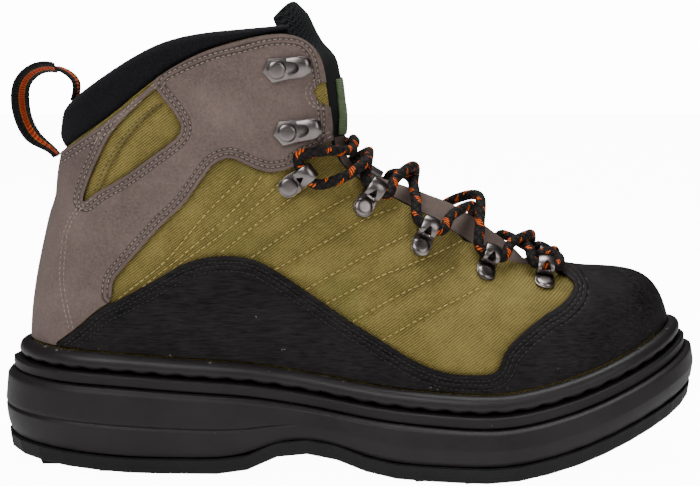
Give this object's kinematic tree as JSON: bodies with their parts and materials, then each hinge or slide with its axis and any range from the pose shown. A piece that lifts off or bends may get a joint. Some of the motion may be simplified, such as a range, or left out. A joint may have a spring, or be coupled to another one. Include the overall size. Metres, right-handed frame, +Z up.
{
  "type": "wading boot",
  "caption": "Lace-up wading boot with a stepped rubber sole, hollow canvas and leather upper, padded collar and tongue, and metal lace loops and hooks.",
  "frame": {"origin": "on the floor, under the flat of the heel, on the sole's lengthways line", "axes": "+Z up, +X towards the toe, +Y towards the inner side of the foot"},
  "size_m": [0.325, 0.1209, 0.2115],
  "materials": {
    "outsole": "matt black rubber tread",
    "midsole": "satin black rubber",
    "welt": "satin black rubber",
    "rand": "satin black rubber, wavy stitched groove",
    "insole": "dark grey felt",
    "upper": "olive ribbed canvas",
    "toe_rand": "black grained, brushed",
    "quarter_panel": "taupe nubuck",
    "collar": "black neoprene",
    "tongue": "taupe nubuck and black mesh",
    "tongue_label": "bare green strip",
    "pull_loop": "black webbing with an orange stripe",
    "lace_hardware": "brushed gunmetal",
    "lace_cord": "black braid with orange flecks"
  },
  "bodies": {
    "root": {"outsole": "outsole", "midsole": "midsole", "welt": "welt", "rand": "rand", "insole": "insole", "upper": "upper", "toe_rand": "toe_rand", "quarter_panel": "quarter_panel", "collar": "collar", "tongue": "tongue", "tongue_label": "tongue_label", "pull_loop": "pull_loop", "lace_loop_outer_1": "lace_hardware", "lace_loop_outer_2": "lace_hardware", "lace_loop_outer_3": "lace_hardware", "lace_loop_outer_4": "lace_hardware", "lace_loop_outer_5": "lace_hardware", "lace_loop_inner_1": "lace_hardware", "lace_loop_inner_2": "lace_hardware", "lace_loop_inner_3": "lace_hardware", "lace_loop_inner_4": "lace_hardware", "lace_loop_inner_5": "lace_hardware", "speed_hook_outer_1": "lace_hardware", "speed_hook_outer_2": "lace_hardware", "speed_hook_inner_1": "lace_hardware", "speed_hook_inner_2": "lace_hardware", "lace": "lace_cord", "lace_knot": "lace_cord"}
  },
  "joints": []
}
